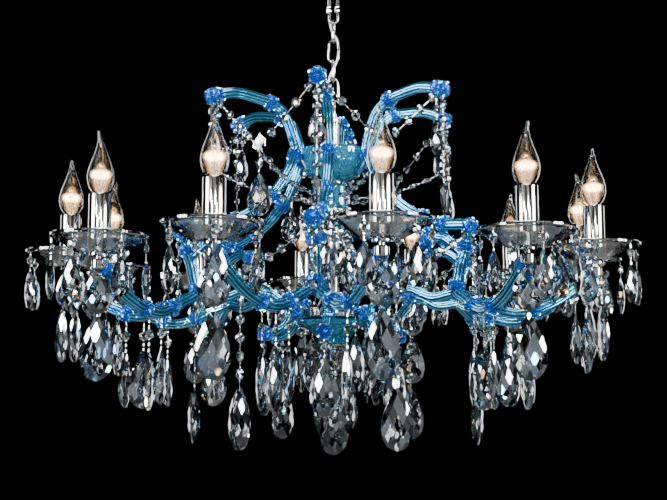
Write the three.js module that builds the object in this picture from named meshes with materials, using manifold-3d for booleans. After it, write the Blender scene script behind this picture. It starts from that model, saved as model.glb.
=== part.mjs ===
// A twelve-lamp crystal chandelier on its chain, in millimetres, +Z up.
// The origin is the centre of the ceiling plate's flat top, so everything hangs below z = 0.
import * as THREE from "three";
import { mergeVertices } from "three/addons/utils/BufferGeometryUtils.js";
import Module from "manifold-3d";

const wasm = await Module();
wasm.setup();

// Driving dimensions
const GROUPS = 6;                 // branches round the column, each with one horn and two lamps
const LAMP_SWING = 15;            // degrees from a branch to each of its lamps
const LAMP_CIRCLE = 375;          // radius of the circle of lamps
const RIM_LEVEL = -456.6;         // rim of the drip dishes
const BAR = 8;                    // radius of the glass-clad bars
const BAR_SIDES = 6;
const CLEARANCE = 0.3;            // gap between pieces that touch

// Ceiling plate
const PLATE_RADIUS = 60;
const PLATE_DEPTH = 22;
const HOOK_WIRE = 2.5;            // radius of the ring's wire
const HOOK_RADIUS = 12;
const HOOK_LEVEL = -33;

// Chain
const QUICK_LENGTH = 72;
const QUICK_WIRE = 2;
const QUICK_WIDTH = 16.5;
const LINK_COUNT = 4;
const LINK_LENGTH = 37;
const LINK_WIDTH = 18;
const LINK_WIRE = 1.7;

// Column, from the eye on top down to the finial
const EYE_RADIUS = 10;
const EYE_WIRE = 2;
const COLUMN_TOP = -255;
const COLUMN_RADIUS = 8.5;
const BOWL_RADIUS = 51;
const BOWL_RIM = -302;
const BOWL_BOTTOM = -348;
const GLASS_RADIUS = 17;
const GLASS_BOTTOM = -388;
const ROD_RADIUS = 5;
const HUB_RADIUS = 49;
const HUB_TOP = -535;
const HUB_BOTTOM = -549;
const BELL_RADIUS = 50;
const BELL_BOTTOM = -585;
const FINIAL_TOP = -585.4;
const FINIAL_BOTTOM = -628;

// Branch outlines as [distance from the column, height]
const HORN = [
  [188, -239], [154, -230], [120, -234], [95, -241], [76, -257], [62, -292], [60, -310],
  [75, -345], [96, -374], [135, -405], [187, -426], [225, -432], [228, -445], [221, -459],
  [214, -485], [206, -516],
];
const STEM = [[HUB_RADIUS + 0.5, -541], [60, -541], [78, -529], [103, -514], [135, -513], [168, -525], [206, -519]];
const SCROLL = [[70, -534], [68, -548], [76, -561], [90, -570], [106, -572]];
const CURL = [[217, -470], [206, -458], [192, -447], [176, -443], [160, -449]];
const FORK = [203, -519];         // where the two lamp arms leave the branch
// Lamp arm as [share of the way from fork to lamp, height]
const ARM = [[0, -519], [0.16, -532], [0.33, -545], [0.45, -549], [0.57, -544], [0.72, -532], [0.86, -514], [1, -493]];

const STRAND_RADIUS = 188;        // the icicle strands hang from the horn tips
const STRAND_TOP = -248.5;
const ICICLE_TOP = -372;
const ICICLE_BOTTOM = -409;

// Almond drop under the finial
const DROP_TOP = FINIAL_BOTTOM - 0.5;
const DROP_BOTTOM = -743;
const DROP_FLATNESS = 0.45;       // thickness over width

const glass = (color, opacity) => new THREE.MeshStandardMaterial({
  color, roughness: 0.05, metalness: 0, transparent: true, opacity,
});
const BLUE_GLASS = glass("#3FA9D6", 0.9);
const TEAL_GLASS = glass("#2B7F8E", 0.8);
const CLEAR_GLASS = glass("#E4ECEC", 0.5);
const NICKEL = new THREE.MeshStandardMaterial({ color: "#C9C6C0", roughness: 0.15, metalness: 1 });

const radians = THREE.MathUtils.degToRad;

// Solids and joining
function solidOf(geometry) {
  const plain = geometry.clone();
  plain.deleteAttribute("normal");
  plain.deleteAttribute("uv");
  const merged = mergeVertices(plain, 1e-4);
  return new wasm.Manifold(new wasm.Mesh({
    numProp: 3,
    vertProperties: new Float32Array(merged.attributes.position.array),
    triVerts: new Uint32Array(merged.index.array),
  }));
}

function geometryOf(solid) {
  const mesh = solid.getMesh();
  const geometry = new THREE.BufferGeometry();
  geometry.setAttribute("position", new THREE.BufferAttribute(new Float32Array(mesh.vertProperties), 3));
  geometry.setIndex(new THREE.BufferAttribute(new Uint32Array(mesh.triVerts), 1));
  geometry.computeVertexNormals();
  return geometry;
}

function joined(geometries) {
  return geometryOf(geometries.map(solidOf).reduce((whole, piece) => whole.add(piece)));
}

// A body of revolution about the vertical axis from [radius, height] points.
function turned(points, segments) {
  const profile = points.map(([radius, height]) => new THREE.Vector2(radius, height));
  return new THREE.LatheGeometry(profile, segments).rotateX(Math.PI / 2);
}

// The same with a profile that closes on itself clear of the axis.
const turnedRing = (points, segments) => turned([...points, points[0]], segments);

function rod(radius, top, bottom, segments) {
  return turned([[0, bottom], [radius, bottom], [radius, top], [0, top]], segments);
}

// A round bar along a smooth curve through the points.
function bar(points, radius, steps) {
  const section = new THREE.Shape(
    Array.from({ length: BAR_SIDES }, (_, side) => {
      const angle = (side * 2 * Math.PI) / BAR_SIDES;
      return new THREE.Vector2(radius * Math.cos(angle), radius * Math.sin(angle));
    }),
  );
  const path = new THREE.CatmullRomCurve3(points, false, "centripetal");
  return new THREE.ExtrudeGeometry(section, { steps, extrudePath: path, bevelEnabled: false });
}

// A ring of round wire standing in the XZ plane, its two halves pulled apart to the given length.
function wireLoop(length, width, wire, level) {
  const arcSteps = 14;            // puts a corner at the very top and bottom, and none at the sides
  const bend = width / 2 - wire;
  const pull = length / 2 - width / 2;
  const ring = new THREE.TorusGeometry(bend, wire, BAR_SIDES, arcSteps);
  ring.rotateZ(Math.PI / arcSteps);
  ring.rotateX(Math.PI / 2);
  const places = ring.attributes.position;
  for (let index = 0; index < places.count; index += 1) {
    const height = places.getZ(index);
    places.setZ(index, height + Math.sign(height) * pull);
  }
  return ring.translate(0, 0, level);
}

// Chandelier pieces on the column
function ceilingPlate() {
  const plate = turned([
    [0, -PLATE_DEPTH], [7, -PLATE_DEPTH], [12, -16], [40, -11], [PLATE_RADIUS - 2, -4],
    [PLATE_RADIUS, -2], [PLATE_RADIUS, 0], [0, 0],
  ], 24);
  const hook = wireLoop(2 * (HOOK_RADIUS + HOOK_WIRE), 2 * (HOOK_RADIUS + HOOK_WIRE), HOOK_WIRE, HOOK_LEVEL);
  return joined([plate, hook.rotateZ(Math.PI / 2)]);
}

function quickLink() {
  const shank = QUICK_WIDTH / 2 - QUICK_WIRE;
  const nuts = [-shank, shank].map((x) => (
    rod(4.2, -QUICK_LENGTH / 2 + 28, -QUICK_LENGTH / 2 + 18, 6).translate(x, 0, 0)
  ));
  return joined([wireLoop(QUICK_LENGTH, QUICK_WIDTH, QUICK_WIRE, 0), ...nuts]);
}

function columnTube(eyeLevel) {
  const eyeSize = 2 * (EYE_RADIUS + EYE_WIRE);
  const eye = wireLoop(eyeSize, eyeSize, EYE_WIRE, eyeLevel).rotateZ(Math.PI / 2);
  const cap = turned([
    [0, COLUMN_TOP - 6], [10.5, COLUMN_TOP - 6], [10.5, COLUMN_TOP], [4, COLUMN_TOP + 4],
    [4, eyeLevel - EYE_RADIUS + 1], [0, eyeLevel - EYE_RADIUS + 1],
  ], 12);
  const tube = rod(COLUMN_RADIUS, COLUMN_TOP - 1, BOWL_BOTTOM - 4, 12);
  const collar = rod(15, BOWL_BOTTOM - CLEARANCE, BOWL_BOTTOM - 3.7, 12);
  const spine = rod(ROD_RADIUS, BOWL_BOTTOM - 3, FINIAL_TOP, 10);
  const ring = rod(21, GLASS_BOTTOM - CLEARANCE, GLASS_BOTTOM - 7, 12);
  const sheath = rod(COLUMN_RADIUS, GLASS_BOTTOM - 5, HUB_TOP - 1, 12);
  const hub = rod(HUB_RADIUS, HUB_TOP, HUB_BOTTOM, 24);
  return joined([eye, cap, tube, collar, spine, ring, sheath, hub]);
}

function upperBowl() {
  const bore = COLUMN_RADIUS + CLEARANCE;
  return turnedRing([
    [bore, BOWL_BOTTOM], [22, BOWL_BOTTOM], [38, -338], [48, -322], [BOWL_RADIUS, BOWL_RIM],
    [BOWL_RADIUS - 3, BOWL_RIM], [45, -320.5], [36, -334.5], [21, -344], [bore, -344],
  ], 24);
}

function columnGlass() {
  const top = BOWL_BOTTOM - 4;
  return turnedRing([
    [GLASS_RADIUS - 3, GLASS_BOTTOM], [GLASS_RADIUS, GLASS_BOTTOM], [GLASS_RADIUS, top], [GLASS_RADIUS - 3, top],
  ], 20);
}

function lowerBell() {
  const bore = ROD_RADIUS + CLEARANCE;
  const rim = HUB_BOTTOM - 3;
  return turnedRing([
    [bore, BELL_BOTTOM], [20, BELL_BOTTOM], [24, -576], [36, -565], [BELL_RADIUS, rim],
    [BELL_RADIUS - 4, rim], [33.5, -562.5], [21.5, -573], [18, -581], [bore, -581],
  ], 24);
}

function finial() {
  return turned([
    [0, FINIAL_BOTTOM], [3, FINIAL_BOTTOM], [5, -620], [14, -617], [14, -613], [6, -609], [9, -602],
    [13, -596], [10, -591], [26, -589], [26, FINIAL_TOP - CLEARANCE], [0, FINIAL_TOP - CLEARANCE],
  ], 16);
}

// One branch in the XZ plane, reaching along +X: horn, stem to the hub, hub scroll and two lamp arms.
const upright = ([radius, height]) => new THREE.Vector3(radius, 0, height);

function lampArm(side) {
  const swing = radians(side * LAMP_SWING);
  const lamp = new THREE.Vector2(Math.cos(swing), Math.sin(swing)).multiplyScalar(LAMP_CIRCLE);
  const fork = new THREE.Vector2(FORK[0], 0);
  const route = ARM.map(([share, height]) => {
    const place = fork.clone().lerp(lamp, share);
    return new THREE.Vector3(place.x, place.y, height);
  });
  const cup = rod(9, RIM_LEVEL - 31.4, RIM_LEVEL - 44, 8).translate(lamp.x, lamp.y, 0);
  return [bar(route, BAR, 9), cup];
}

function branch() {
  return joined([
    bar(HORN.map(upright), BAR, 24),
    bar(STEM.map(upright), BAR - 1, 7),
    bar(SCROLL.map(upright), BAR - 1, 5),
    bar(CURL.map(upright), BAR - 1, 5),
    ...lampArm(-1),
    ...lampArm(1),
  ]);
}

// Lamp pieces about their own vertical axis
function bobeche() {
  const bottom = RIM_LEVEL - 23.4;
  return turnedRing([
    [4.9, bottom], [20, bottom], [61, RIM_LEVEL - 2.6], [61, RIM_LEVEL], [58, RIM_LEVEL],
    [20, bottom + 4.2], [4.9, bottom + 4.2],
  ], 12);
}

function lampHolder() {
  const floor = RIM_LEVEL - 18.9;
  const top = floor + 69.5;
  const nut = floor - 4.8;
  return turned([
    [0, nut - 7.4], [3.5, nut - 7.4], [3.5, nut - 3.2], [12, nut - 3.2], [12, nut], [4.5, nut], [4.5, floor],
    [14.35, floor], [14.35, top], [13.2, top], [7.6, top - 8], [7.6, top - 28], [0, top - 28],
  ], 8);
}

function candleBulb() {
  const rim = RIM_LEVEL + 50.6;
  return turned([
    [0, rim - 27], [6.4, rim - 27], [6.4, rim - 9], [12, rim + 1], [16.5, rim + 10],
    [17.5, rim + 21], [16.5, rim + 33], [11, rim + 50], [4, rim + 68], [0, rim + 82],
  ], 8);
}

function icicleStrand() {
  return turned([
    [0, ICICLE_BOTTOM], [3.5, ICICLE_BOTTOM + 5], [7, ICICLE_BOTTOM + 14], [3.5, ICICLE_TOP - 5],
    [1.5, ICICLE_TOP], [1.5, STRAND_TOP], [0, STRAND_TOP],
  ], 6);
}

function bottomDrop() {
  const drop = turned([
    [0, DROP_BOTTOM], [12, DROP_BOTTOM + 4], [21, DROP_BOTTOM + 17], [22, DROP_BOTTOM + 28], [12, DROP_BOTTOM + 58],
    [3, DROP_BOTTOM + 76], [3, DROP_TOP], [0, DROP_TOP],
  ], 10);
  return drop.scale(1, DROP_FLATNESS, 1);
}

// Assembly
const chandelier = new THREE.Group();

function place(name, geometry, material, group = chandelier) {
  const mesh = new THREE.Mesh(geometry, material);
  mesh.name = name;
  group.add(mesh);
  return mesh;
}

place("ceiling_plate", ceilingPlate(), NICKEL);

// Each hanging piece rests on the wire that it is hooked over: seat is the top of that wire.
let seat = HOOK_LEVEL - HOOK_RADIUS + HOOK_WIRE;
function hang(geometry, name, length, wire, turn) {
  const top = seat + CLEARANCE + 2 * wire;
  const piece = place(name, geometry, NICKEL);
  piece.position.z = top - length / 2;
  piece.rotation.z = turn;
  seat = top - length + 2 * wire;
}
hang(quickLink(), "quick_link", QUICK_LENGTH, QUICK_WIRE, 0);
for (let number = 1; number <= LINK_COUNT; number += 1) {
  const link = wireLoop(LINK_LENGTH, LINK_WIDTH, LINK_WIRE, 0);
  hang(link, `chain_link_${number}`, LINK_LENGTH, LINK_WIRE, number % 2 === 1 ? Math.PI / 2 : 0);
}

place("column_tube", columnTube(seat + CLEARANCE + EYE_WIRE - EYE_RADIUS), NICKEL);
place("upper_bowl", upperBowl(), TEAL_GLASS);
place("column_glass", columnGlass(), TEAL_GLASS);
place("lower_bell", lowerBell(), BLUE_GLASS);
place("finial", finial(), NICKEL);
place("bottom_drop", bottomDrop(), CLEAR_GLASS);

for (let number = 1; number <= GROUPS; number += 1) {
  const direction = radians((number - 1) * (360 / GROUPS) - 90);
  const arms = new THREE.Group();
  arms.rotation.z = direction;
  chandelier.add(arms);
  place(`branch_${number}`, branch(), BLUE_GLASS, arms);
  place(`icicle_strand_${number}`, icicleStrand(), CLEAR_GLASS, arms).position.x = STRAND_RADIUS;
  [-1, 1].forEach((side, turn) => {
    const lampNumber = 2 * number - 1 + turn;
    const lamp = new THREE.Group();
    const swing = radians(side * LAMP_SWING);
    lamp.position.set(LAMP_CIRCLE * Math.cos(swing), LAMP_CIRCLE * Math.sin(swing), 0);
    arms.add(lamp);
    place(`bobeche_${lampNumber}`, bobeche(), CLEAR_GLASS, lamp);
    place(`lamp_holder_${lampNumber}`, lampHolder(), NICKEL, lamp);
    place(`bulb_${lampNumber}`, candleBulb(), CLEAR_GLASS, lamp);
  });
}

export default chandelier;
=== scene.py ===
"""Finished look of a twelve-lamp crystal chandelier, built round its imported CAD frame.

Metres, +Z up, with the origin on the ceiling plate, so heights are negative.
Sizes below are in millimetres unless their name says otherwise.
"""
import math

import bmesh
import bpy
from mathutils import Matrix, Vector


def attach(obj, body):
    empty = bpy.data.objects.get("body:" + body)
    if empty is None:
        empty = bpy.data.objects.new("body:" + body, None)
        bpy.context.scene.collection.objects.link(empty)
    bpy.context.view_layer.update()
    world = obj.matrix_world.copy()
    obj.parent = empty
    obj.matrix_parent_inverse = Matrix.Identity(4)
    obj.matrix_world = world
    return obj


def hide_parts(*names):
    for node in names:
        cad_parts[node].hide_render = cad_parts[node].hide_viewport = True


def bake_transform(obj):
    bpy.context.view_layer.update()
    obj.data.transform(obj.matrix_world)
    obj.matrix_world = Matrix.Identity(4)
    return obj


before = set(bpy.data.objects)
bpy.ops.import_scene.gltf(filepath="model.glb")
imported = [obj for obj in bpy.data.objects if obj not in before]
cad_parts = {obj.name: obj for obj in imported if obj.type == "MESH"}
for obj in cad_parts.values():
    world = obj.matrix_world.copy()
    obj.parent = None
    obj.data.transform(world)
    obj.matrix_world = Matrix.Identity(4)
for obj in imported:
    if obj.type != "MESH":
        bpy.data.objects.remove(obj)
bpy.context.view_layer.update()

MM = 0.001
UP = Vector((0, 0, 1))

# Layout, the same as the frame's
GROUPS = 6
LAMPS = 12
LAMP_SWING = math.radians(15)
LAMP_CIRCLE = 375

# Branch outlines as (distance from the column, height), and the lamp arm as (share of its way, height)
HORN = [
    (188, -239), (154, -230), (120, -234), (95, -241), (76, -257), (62, -292), (60, -310),
    (75, -345), (96, -374), (135, -405), (187, -426), (225, -432),
]
HOOK = [(221, -459), (214, -478), (209, -500), (203, -519)]
STEM = [(50, -541), (60, -541), (78, -529), (103, -514), (135, -513), (168, -525), (200, -521)]
SCROLL = [(70, -534), (68, -548), (76, -561), (90, -570), (106, -572)]
CURL = [(217, -470), (206, -458), (192, -447), (176, -443), (160, -449)]
FORK = (203, -519)
ARM = [
    (0, -519), (0.16, -532), (0.33, -545), (0.45, -549), (0.57, -544), (0.72, -532), (0.86, -514), (1, -493),
]
BAR_RADIUS = 8.0
SMALL_BAR_RADIUS = 7.2
FLUTE_DEPTH = 1.8
SMALL_FLUTE_DEPTH = 1.7
CORE_RADIUS = 4.2
FLUTES = 10
# Bars are drawn through points about this far apart
BAR_STEP = 4

# Crystal sizes: width, length, thickness
DROP_SIZES = {
    "small_almond": (26, 50, 10),
    "slim_almond": (19, 76, 13),
    "upper_almond": (38, 57, 15),
    "large_almond": (42, 80, 18),
    "icicle": (14, 44, 10),
}
OCTAGON = 14
OCTAGON_THICKNESS = 7
PIN = 8
KITE = (20, 27, 9)
LENGTHS = {"octagon": OCTAGON}
LENGTHS.update({kind: size[1] for kind, size in DROP_SIZES.items()})


# ---------------------------------------------------------------- colours and nodes

def colour(code):
    """sRGB hex to linear red, green, blue and alpha."""
    channels = [int(code[start:start + 2], 16) / 255 for start in (1, 3, 5)]
    linear = [c / 12.92 if c <= 0.04045 else ((c + 0.055) / 1.055) ** 2.4 for c in channels]
    return (*linear, 1)


def put(tree, kind, inputs=(), **settings):
    """Adds a node. inputs maps a socket to a value, or to another node's output to link."""
    node = tree.nodes.new(kind)
    for key, value in settings.items():
        setattr(node, key, value)
    for key, value in dict(inputs).items():
        if isinstance(value, bpy.types.NodeSocket):
            tree.links.new(value, node.inputs[key])
        else:
            node.inputs[key].default_value = value
    return node


def surface(name, inputs, **settings):
    """A material with one Principled shader and its output; returns the material, tree and shader."""
    material = bpy.data.materials.new(name)
    material.use_nodes = True
    tree = material.node_tree
    tree.nodes.clear()
    shader = put(tree, "ShaderNodeBsdfPrincipled", inputs, **settings)
    put(tree, "ShaderNodeOutputMaterial", {"Surface": shader.outputs["BSDF"]})
    return material, tree, shader


def noise(tree, size, detail=2.0, stretch=(1, 1, 1)):
    """Noise on Object coordinates whose features are about size millimetres across."""
    place = put(tree, "ShaderNodeTexCoord")
    scaled = put(tree, "ShaderNodeMapping", {"Vector": place.outputs["Object"], "Scale": stretch})
    return put(tree, "ShaderNodeTexNoise", {
        "Vector": scaled.outputs["Vector"], "Scale": 1 / (size * MM), "Detail": detail,
    })


def relief(tree, shader, height, depth):
    """Bump of the given depth in millimetres."""
    bump = put(tree, "ShaderNodeBump", {"Height": height, "Distance": depth * MM, "Strength": 1.0})
    tree.links.new(bump.outputs["Normal"], shader.inputs["Normal"])
    return bump


# ---------------------------------------------------------------- materials

def lead_crystal():
    """Machine-cut lead crystal: flat polished facets and a high index.

    Its metallic share gives the silvery light that the many bounces inside a real stone return.
    """
    material, tree, shader = surface("cut_lead_crystal", {
        "Base Color": colour("#C9CED0"), "Roughness": 0.0, "IOR": 1.6, "Transmission Weight": 1.0,
        "Metallic": 0.3,
    })
    relief(tree, shader, noise(tree, 20, 0.0).outputs["Fac"], 0.03)
    return material


def pressed_glass():
    """Pressed soda glass of the drip dishes: softened edges, and tiny waves from the mould."""
    material, tree, shader = surface("pressed_clear_glass", {
        "Base Color": colour("#E6ECEC"), "Roughness": 0.02, "IOR": 1.52, "Transmission Weight": 1.0,
        "Metallic": 0.1,
    })
    relief(tree, shader, noise(tree, 2.5, 3.0).outputs["Fac"], 0.02)
    return material


# How closely the painted highlight keeps to the top of a rib: its share is the rib's height to this power
HIGHLIGHT_CREST = 3.0


def coloured_glass(name, code, deep_code, silvered, roughness=0.05, wave=12.0, depth=0.06, highlight_on_ridges=False):
    """Glass coloured in the melt, fire polished, and silvered by its bright metal core to the share given.

    The ridge switch paints a highlight: the paler colour on the crest of each raised rib or petal, and the
    deep one between them as painted shade. Without it the two drift into each other along the piece. wave and
    depth are the size and height of the waves left by the fire, in millimetres.
    """
    material, tree, shader = surface(name, {
        "Roughness": roughness, "IOR": 1.52, "Transmission Weight": 0.75, "Metallic": silvered,
    })
    # Painted highlight: the paler colour goes on the crests of the ribs, and the deep colour in the valleys
    # is painted shade
    if highlight_on_ridges:
        ridge = put(tree, "ShaderNodeAttribute", attribute_name="ridge").outputs["Fac"]
        share = put(tree, "ShaderNodeMath", {0: ridge, 1: HIGHLIGHT_CREST}, operation="POWER").outputs[0]
    else:
        share = noise(tree, 60, 1.0).outputs["Fac"]
    tint = put(tree, "ShaderNodeMix", {
        "Factor": share, 6: colour(deep_code), 7: colour(code),
    }, data_type="RGBA")
    tree.links.new(tint.outputs[2], shader.inputs["Base Color"])
    relief(tree, shader, noise(tree, wave, 2.0).outputs["Fac"], depth)
    return material


def polished_nickel():
    """Nickel plate, buffed: warm grey mirror with faint buffing haze.

    Buffing lines are hundredths of a millimetre apart; here they are over a millimetre apart, to show.
    """
    material, tree, shader = surface("polished_nickel_plate", {
        "Base Color": colour("#BDB9B3"), "Metallic": 1.0,
    })
    haze = noise(tree, 14, 4.0, (1, 1, 0.2))
    rough = put(tree, "ShaderNodeMapRange", {"Value": haze.outputs["Fac"], "To Min": 0.04, "To Max": 0.1})
    tree.links.new(rough.outputs["Result"], shader.inputs["Roughness"])
    relief(tree, shader, noise(tree, 1.2, 2.0).outputs["Fac"], 0.01)
    return material


def bright_wire():
    """Drawn and plated jewellery wire: its fine drawing lines are widened to 1.5 mm, to show."""
    material, tree, shader = surface("plated_drawn_wire", {
        "Base Color": colour("#E4E1DC"), "Metallic": 1.0, "Roughness": 0.18,
    })
    relief(tree, shader, noise(tree, 1.5, 2.0).outputs["Fac"], 0.03)
    return material


def silvered_core():
    """Steel bar inside the glass, silver painted so that it throws light back through the colour."""
    material, tree, shader = surface("silvered_steel_bar", {
        "Base Color": colour("#E9EEF2"), "Metallic": 1.0, "Roughness": 0.32,
    })
    relief(tree, shader, noise(tree, 3, 3.0).outputs["Fac"], 0.08)
    return material


def bulb_glass():
    """Thin blown lamp glass: nearly invisible face on, bright at its edges."""
    material, tree, shader = surface("blown_bulb_glass", {
        "Base Color": colour("#FFFDF8"), "Roughness": 0.0, "IOR": 1.5, "Transmission Weight": 1.0,
    })
    relief(tree, shader, noise(tree, 12, 1.0).outputs["Fac"], 0.08)
    return material


WIRE_GLOW = 30.0
# Brightness and fade of the painted glare halo, a glowing shell round the hot wire
HALO_GLOW = 13.0
HALO_FALLOFF = 4.0


def glowing_filament():
    """Tungsten wire at working heat."""
    return surface("hot_tungsten_wire", {
        "Base Color": colour("#FFB870"), "Emission Color": colour("#FFC58A"), "Emission Strength": WIRE_GLOW,
    })[0]


def glare_halo():
    """A painted glare halo round the hot wire: a shell that glows, solid in the middle and gone at the edge.
    """
    material = bpy.data.materials.new("glowing_gas")
    material.use_nodes = True
    tree = material.node_tree
    tree.nodes.clear()
    edge = put(tree, "ShaderNodeLayerWeight", {"Blend": 0.5})
    middle = put(tree, "ShaderNodeMath", {0: 1.0, 1: edge.outputs["Facing"]}, operation="SUBTRACT")
    share = put(tree, "ShaderNodeMath", {0: middle.outputs[0], 1: HALO_FALLOFF}, operation="POWER")
    glow = put(tree, "ShaderNodeEmission", {"Color": colour("#FFC684"), "Strength": HALO_GLOW})
    clear = put(tree, "ShaderNodeBsdfTransparent")
    mix = put(tree, "ShaderNodeMixShader", {
        0: share.outputs[0], 1: clear.outputs["BSDF"], 2: glow.outputs["Emission"],
    })
    put(tree, "ShaderNodeOutputMaterial", {"Surface": mix.outputs["Shader"]})
    return material


def turned_brass():
    """Brass lamp cap, turned and left bare: its turning marks are widened to a millimetre, to show."""
    material, tree, shader = surface("turned_brass", {
        "Base Color": colour("#C9A45C"), "Metallic": 1.0, "Roughness": 0.3,
    })
    relief(tree, shader, noise(tree, 1.0, 2.0, (1, 1, 6)).outputs["Fac"], 0.03)
    return material


def clear_flex():
    """Clear PVC over tinned copper: milky white, soft shine."""
    material, tree, shader = surface("clear_pvc_flex", {
        "Base Color": colour("#E9E7E2"), "Roughness": 0.22, "IOR": 1.53, "Transmission Weight": 0.25,
    })
    relief(tree, shader, noise(tree, 4, 2.0).outputs["Fac"], 0.1)
    return material


def pale_floor():
    """Matt painted studio floor."""
    material, tree, shader = surface("matt_floor_paint", {
        "Base Color": colour("#D8D6D2"), "Roughness": 0.8,
    })
    relief(tree, shader, noise(tree, 30, 3.0).outputs["Fac"], 0.4)
    return material


CRYSTAL = lead_crystal()
DISH_GLASS = pressed_glass()
# The first colour of the blue glass and of the flowers is a painted highlight on rib and petal crests; the
# deep one between them is painted shade
BLUE_GLASS = coloured_glass("sky_blue_fluted_glass", "#7CE4FA", "#064F90", 0.8, 0.03, 40.0, 0.05, True)
ROSETTE_GLASS = coloured_glass("deep_blue_pressed_glass", "#B8F0FF", "#168EE8", 0.6, 0.06, 4.0, 0.03, True)
TEAL_GLASS = coloured_glass("blown_teal_glass", "#58B8D4", "#2E86AC", 0.3, 0.03, 14.0, 0.06)
NICKEL = polished_nickel()
WIRE = bright_wire()
CORE = silvered_core()
BULB_GLASS = bulb_glass()
FILAMENT = glowing_filament()
GLARE_HALO = glare_halo()
BRASS = turned_brass()
FLEX = clear_flex()
FLOOR = pale_floor()


# ---------------------------------------------------------------- curves and meshes

def smooth(points, step):
    """Catmull-Rom curve through the points, sampled about every step (both in the points' units)."""
    points = [Vector(point) for point in points]
    padded = [2 * points[0] - points[1], *points, 2 * points[-1] - points[-2]]
    route = []
    for before, start, end, after in zip(padded, padded[1:], padded[2:], padded[3:]):
        count = max(1, round((end - start).length / step))
        for index in range(count):
            t = index / count
            route.append(0.5 * (
                2 * start + (end - before) * t + (2 * before - 5 * start + 4 * end - after) * t * t
                + (3 * start - before - 3 * end + after) * t ** 3
            ))
    route.append(points[-1])
    return route


def polar(radius, angle, height):
    """A point at a distance from the column, a bearing and a height."""
    return Vector((radius * math.cos(angle), radius * math.sin(angle), height))


def outline(points, step=1.5):
    """A smooth outline from a few (radius, height) points."""
    return [(max(0.0, p.x), p.z) for p in smooth([(r, 0, z) for r, z in points], step)]


def circle_line(height, radius, across):
    """A standing circle of points round the column's line. across is X or Y."""
    angles = [2 * math.pi * index / 40 for index in range(40)]
    return [across * radius * math.cos(angle) + UP * (height + radius * math.sin(angle)) for angle in angles]


def new_object(name, mesh):
    """An object for a mesh, in the scene."""
    made = bpy.data.objects.new(name, mesh)
    bpy.context.scene.collection.objects.link(made)
    return made


def from_bmesh(name, shape, material, sharp_degrees=35):
    """Finishes a bmesh as an object. Edges sharper than the limit stay crisp; 0 leaves every face flat."""
    bmesh.ops.remove_doubles(shape, verts=shape.verts, dist=1e-7)
    bmesh.ops.recalc_face_normals(shape, faces=shape.faces)
    for face in shape.faces:
        face.smooth = sharp_degrees > 0
    for edge in shape.edges:
        edge.smooth = edge.calc_face_angle(0.0) < math.radians(sharp_degrees)
    mesh = bpy.data.meshes.new(name)
    shape.to_mesh(mesh)
    shape.free()
    mesh.materials.append(material)
    return new_object(name, mesh)


def turned(name, points, material, segments=64, ribs=0, rib_depth=0.0):
    """A body of revolution from (radius, height) in millimetres; closed when both ends are on the axis.

    An outline clear of the axis is closed on itself. ribs presses flutes into it.
    """
    closed = points[0][0] > 1e-6
    shape = bmesh.new()
    rings = []
    for radius, height in points:
        if radius < 1e-6:
            rings.append([shape.verts.new((0, 0, height * MM))])
            continue
        ring = []
        for index in range(segments):
            angle = 2 * math.pi * index / segments
            reach = radius - (rib_depth * abs(math.sin(ribs * angle / 2)) if ribs else 0)
            ring.append(shape.verts.new(polar(reach, angle, height) * MM))
        rings.append(ring)
    pairs = list(zip(rings, rings[1:]))
    if closed:
        pairs.append((rings[-1], rings[0]))
    for lower, upper in pairs:
        for index in range(segments):
            after = (index + 1) % segments
            corners = [lower[index % len(lower)], lower[after % len(lower)],
                       upper[after % len(upper)], upper[index % len(upper)]]
            unique = list(dict.fromkeys(corners))
            if len(unique) > 2:
                shape.faces.new(unique)
    return from_bmesh(name, shape, material)


def copy_to(original, name, matrix):
    """A copy of a piece with its new place in its mesh."""
    mesh = original.data.copy()
    mesh.transform(matrix)
    return new_object(name, mesh)


def discard(*objects):
    """Takes patterns that have served out of the scene."""
    for item in objects:
        bpy.data.objects.remove(item)


def joined(name, objects):
    """One object from several, each keeping its material."""
    materials = []
    shape = bmesh.new()
    for item in objects:
        material = item.data.materials[0]
        if material not in materials:
            materials.append(material)
        first = len(shape.faces)
        shape.from_mesh(item.data)
        shape.faces.ensure_lookup_table()
        for face in shape.faces[first:]:
            face.material_index = materials.index(material)
    mesh = bpy.data.meshes.new(name)
    shape.to_mesh(mesh)
    shape.free()
    for material in materials:
        mesh.materials.append(material)
    discard(*objects)
    return new_object(name, mesh)


def settle(piece, body, slot, *nodes):
    """Says which body a piece moves with and the frame's nodes that it stands for. The slot, its finish, is
    not used.
    """
    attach(piece, body)
    if nodes:
        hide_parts(*nodes)


# ---------------------------------------------------------------- geometry trees

def geometry_tree(name, sockets):
    """A Geometry Nodes tree with the named inputs, as (name, socket type, default)."""
    tree = bpy.data.node_groups.new(name, "GeometryNodeTree")
    tree.interface.new_socket("Geometry", in_out="INPUT", socket_type="NodeSocketGeometry")
    for label, kind, default in sockets:
        made = tree.interface.new_socket(label, in_out="INPUT", socket_type=kind)
        if default is not None:
            made.default_value = default
    tree.interface.new_socket("Geometry", in_out="OUTPUT", socket_type="NodeSocketGeometry")
    return tree, put(tree, "NodeGroupInput").outputs


def finish_tree(tree, geometry, material):
    """Ends a tree: real geometry with its material."""
    realized = put(tree, "GeometryNodeRealizeInstances", {"Geometry": geometry})
    painted = put(tree, "GeometryNodeSetMaterial", {
        "Geometry": realized.outputs["Geometry"], "Material": material,
    })
    put(tree, "NodeGroupOutput", {"Geometry": painted.outputs["Geometry"]})


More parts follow.
